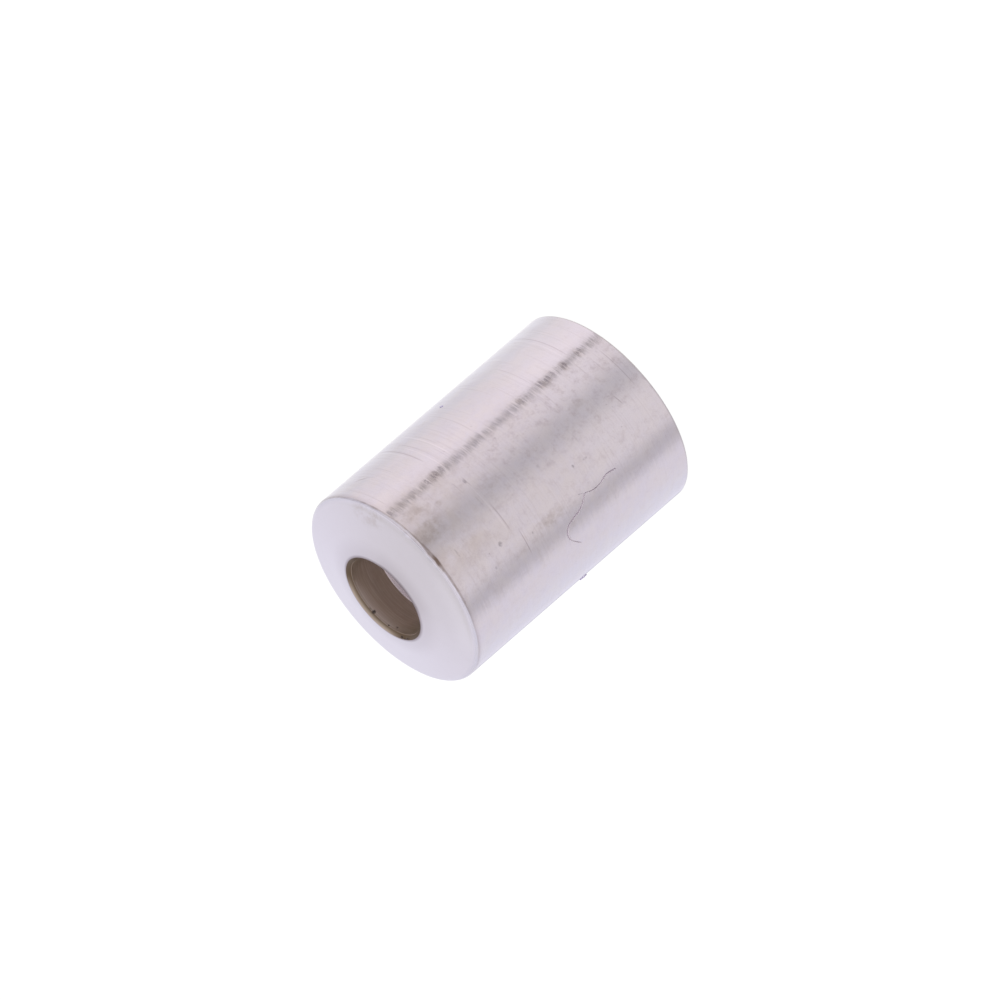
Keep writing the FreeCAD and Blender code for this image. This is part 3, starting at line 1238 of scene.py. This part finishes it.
@dataclass(frozen=True)
class Tent:
    """The white tent round the sleeve, as the metal sees it. Bearings are those that mirror it."""

    walls: tuple[tuple[float, Colour], ...] = (
        (0.0, (1.0, 0.985, 1.0)),
        (4.5, (0.99, 0.972, 1.0)),
        (12.0, (0.84, 0.82, 0.88)),
        (26.0, (0.75, 0.71, 0.765)),
        (34.0, (0.81, 0.74, 0.79)),
        (50.0, (0.88, 0.79, 0.85)),
        (67.0, (0.765, 0.69, 0.74)),
        (104.0, (0.725, 0.66, 0.70)),
        (138.0, (0.765, 0.71, 0.79)),
        (163.0, (0.79, 0.765, 0.87)),
        (172.0, (0.835, 0.81, 0.93)),
        (180.0, (0.875, 0.858, 0.945)),
    )
    ceiling: tuple[tuple[float, Colour], ...] = (
        (0.0, (0.86, 0.835, 0.96)),
        (25.0, (0.805, 0.765, 0.875)),
        (38.0, (0.775, 0.735, 0.825)),
        (50.0, (0.682, 0.637, 0.686)),
        (90.0, (0.69, 0.65, 0.70)),
    )
    strips: tuple[Strip, ...] = (
        Strip(58.8, 4.4, 0.62, lean=1.1, half_height=6.0),
        Strip(83.2, 15.5, 0.28, tone=(0.03, 0.06, 0.10), overhead=0.7),
        Strip(124.0, 11.5, 0.26),
        Strip(175.5, 5.0, 0.20, half_height=24.0),
    )
    level_of_strips: float = -25.6
    low_gap: float = 0.13

    def build(self) -> None:
        """Makes the scene's world: the tent for reflections, and plain white for all else."""
        world = bpy.data.worlds.new("white_tent")
        world.use_nodes = True
        bpy.context.scene.world = world
        tree = world.node_tree
        tree.nodes.clear()
        nodes = NodeWriter(tree)
        towards = nodes.add("ShaderNodeTexCoord", {}).outputs["Generated"]
        x, y, z = nodes.axes(towards)
        turn = nodes.math("DIVIDE", nodes.math("ARCTAN2", x, y), 2.0 * math.pi)
        mirrored = nodes.math("FRACT", nodes.math("ADD", turn, 1.0))
        rise = nodes.math("DEGREES", nodes.math("ARCSINE", z))
        wall = self.ramp(nodes, mirrored, self.walls, FULL_TURN / 2)
        above = self.ramp(nodes, nodes.math("DIVIDE", rise, 90.0), self.ceiling, 90.0)
        seen = nodes.blend(nodes.ease(rise, -12.0, 1.0), wall, above)
        climbed = nodes.math("SUBTRACT", rise, self.level_of_strips)
        at_table = nodes.fade(rise, -12.0, 2.0, 1.0, 0.08)
        overhead = nodes.times(nodes.ease(rise, 26.0, 42.0), nodes.fade(rise, 50.0, 80.0))
        for strip in self.strips:
            middle = nodes.muladd(climbed, strip.lean / FULL_TURN, strip.bearing * 2 / FULL_TURN)
            across = nodes.around(mirrored, middle, 0.0, strip.half_width * 2 / FULL_TURN, strip.dark)
            along = nodes.muladd(overhead, strip.overhead, at_table)
            if strip.half_height is not None:
                along = nodes.fade(nodes.math("ABSOLUTE", climbed), 0.0, strip.half_height)
            seen = nodes.blend(nodes.times(across, along), seen, strip.tone)
        aside = nodes.apart(mirrored, 0.5)
        beside = nodes.times(nodes.ease(aside, 0.10, 0.18), nodes.fade(aside, 0.42, 0.47))
        low = nodes.around(rise, 3.0, 6.0, 26.0, self.low_gap)
        seen = nodes.blend(nodes.times(beside, low), seen, BLACK)
        path = nodes.add("ShaderNodeLightPath", {})
        plain = nodes.add("ShaderNodeBackground", {"Color": WHITE, "Strength": 1.0})
        tent = nodes.add("ShaderNodeBackground", {"Color": seen, "Strength": 1.0})
        glossy, through = path.outputs["Is Glossy Ray"], path.outputs["Is Transmission Ray"]
        mirrors = nodes.math("MAXIMUM", glossy, through)
        mix = nodes.add("ShaderNodeMixShader", {0: mirrors, 1: plain.outputs[0], 2: tent.outputs[0]})
        nodes.add("ShaderNodeOutputWorld", {"Surface": mix.outputs[0]})

    @staticmethod
    def ramp(
        nodes: NodeWriter, value: Socket, tones: Sequence[tuple[float, Colour]], span: float
    ) -> Socket:
        """Blends smoothly from tone to tone.

        Args:
            nodes: The writer of the world's nodes.
            value: The place along the ramp, from 0 to 1.
            tones: Each tone's place and colour.
            span: The place that counts as 1.

        Returns:
            The blended colour.
        """
        node = nodes.add("ShaderNodeValToRGB", {0: value})
        node.color_ramp.interpolation = "EASE"
        stops = node.color_ramp.elements
        while len(stops) < len(tones):
            stops.new(0.5)
        for stop, (at, colour) in zip(stops, tones):
            stop.position = at / span
            stop.color = (*colour, 1.0)
        return node.outputs[0]


@dataclass(frozen=True)
class Studio:
    """Floor, lamp and camera."""

    floor_half: float = 0.6
    floor_white: float = 0.12
    floor_glow: float = 0.93
    lamp_place: tuple[float, float, float] = (0.06, 0.10, 0.30)
    lamp_size: float = 0.25
    lamp_watts: float = 0.35
    camera_distance: float = 0.35
    camera_elevation: float = 25.55
    camera_roll: float = -130.78
    lens: float = 409.7
    sensor_width: float = 36.0
    clip: tuple[float, float] = (0.01, 5.0)
    aim_right: float = -0.155
    aim_up: float = -0.078
    aim_height: float = 5.0

    def floor(self) -> None:
        """Lays a plain white floor that keeps the sleeve's shadow."""
        bpy.ops.object.select_all(action="DESELECT")
        bpy.ops.mesh.primitive_plane_add(size=2.0 * self.floor_half, location=ORIGIN)
        floor = bpy.context.object
        floor.name = "floor"
        floor.visible_glossy = False
        material = bpy.data.materials.new("white_floor")
        material.use_nodes = True
        tree = material.node_tree
        tree.nodes.clear()
        nodes = NodeWriter(tree)
        matt = nodes.add("ShaderNodeBsdfDiffuse", {"Color": (self.floor_white,) * 3})
        path = nodes.add("ShaderNodeLightPath", {})
        strength = nodes.times(path.outputs["Is Camera Ray"], self.floor_glow)
        glow = nodes.add("ShaderNodeEmission", {"Color": WHITE, "Strength": strength})
        both = nodes.add("ShaderNodeAddShader", {0: matt.outputs[0], 1: glow.outputs[0]})
        clear = nodes.add("ShaderNodeBsdfTransparent", {})
        under = nodes.add("ShaderNodeNewGeometry", {}).outputs["Backfacing"]
        mix = nodes.add("ShaderNodeMixShader", {0: under, 1: both.outputs[0], 2: clear.outputs[0]})
        nodes.add("ShaderNodeOutputMaterial", {"Surface": mix.outputs[0]})
        floor.data.materials.append(material)

    def lamp(self) -> None:
        """Hangs one large soft lamp above the sleeve."""
        light = bpy.data.lights.new("soft_lamp", "AREA")
        light.shape = "DISK"
        light.size = self.lamp_size
        light.energy = self.lamp_watts
        lamp = bpy.data.objects.new("soft_lamp", light)
        lamp.location = self.lamp_place
        lamp.rotation_euler = (-Vector(lamp.location)).to_track_quat("-Z", "Y").to_euler()
        lamp.visible_glossy = False
        bpy.context.scene.collection.objects.link(lamp)

    def camera(self) -> None:
        """Sets the camera at the photograph's angle, rolled as the photograph is."""
        data = bpy.data.cameras.new("camera")
        data.lens = self.lens
        data.sensor_width = self.sensor_width
        data.clip_start, data.clip_end = self.clip
        elevation = math.radians(self.camera_elevation)
        back = Vector((0.0, -math.cos(elevation), math.sin(elevation)))
        level = Vector((1.0, 0.0, 0.0))
        upright = back.cross(level)
        roll = Matrix.Rotation(math.radians(self.camera_roll), 3, back)
        right = roll @ level
        up = roll @ upright
        aim = Vector((0.0, 0.0, self.aim_height)) * MM - (right * self.aim_right + up * self.aim_up) * MM
        camera = bpy.data.objects.new("camera", data)
        turn = Matrix((right, up, back)).transposed().to_4x4()
        camera.matrix_world = Matrix.Translation(aim + back * self.camera_distance) @ turn
        bpy.context.scene.collection.objects.link(camera)
        bpy.context.scene.camera = camera

    def build(self) -> None:
        """Sets up the whole studio."""
        self.floor()
        self.lamp()
        self.camera()
        Tent().build()
        bpy.context.scene.view_settings.view_transform = "Standard"
        log.info("studio: floor, lamp, tent and camera")


def main() -> None:
    """Builds the sleeve, the dirt on it and the studio, in that order."""
    logging.basicConfig(level=logging.INFO, format="%(name)s: %(message)s")
    sizes = SleeveSizes.from_frame()
    effects = Effects()
    Sleeve(sizes).build(effects)
    grey_lint = LintFinish((0.74, 0.65, 0.72), "grey_lint", 1.3)
    violet_lint = LintFinish((0.80, 0.70, 1.0), "violet_lint", 1.0)
    blue_lint = LintFinish((0.62, 0.57, 0.80), "blue_lint", 1.2)
    for name, thickness, finish, route in (
        ("stray_fibre", 0.030, grey_lint, STRAY_FIBRE),
        ("stray_fibre_end", 0.012, grey_lint, STRAY_FIBRE_END),
        ("lint_speck", 0.034, violet_lint, LINT_SPECK),
        ("lint_dot", 0.024, blue_lint, LINT_DOT),
    ):
        Fibre(name, route, thickness, finish, sizes.outer_radius).build()
    Studio().build()


if __name__ == "__main__":
    main()
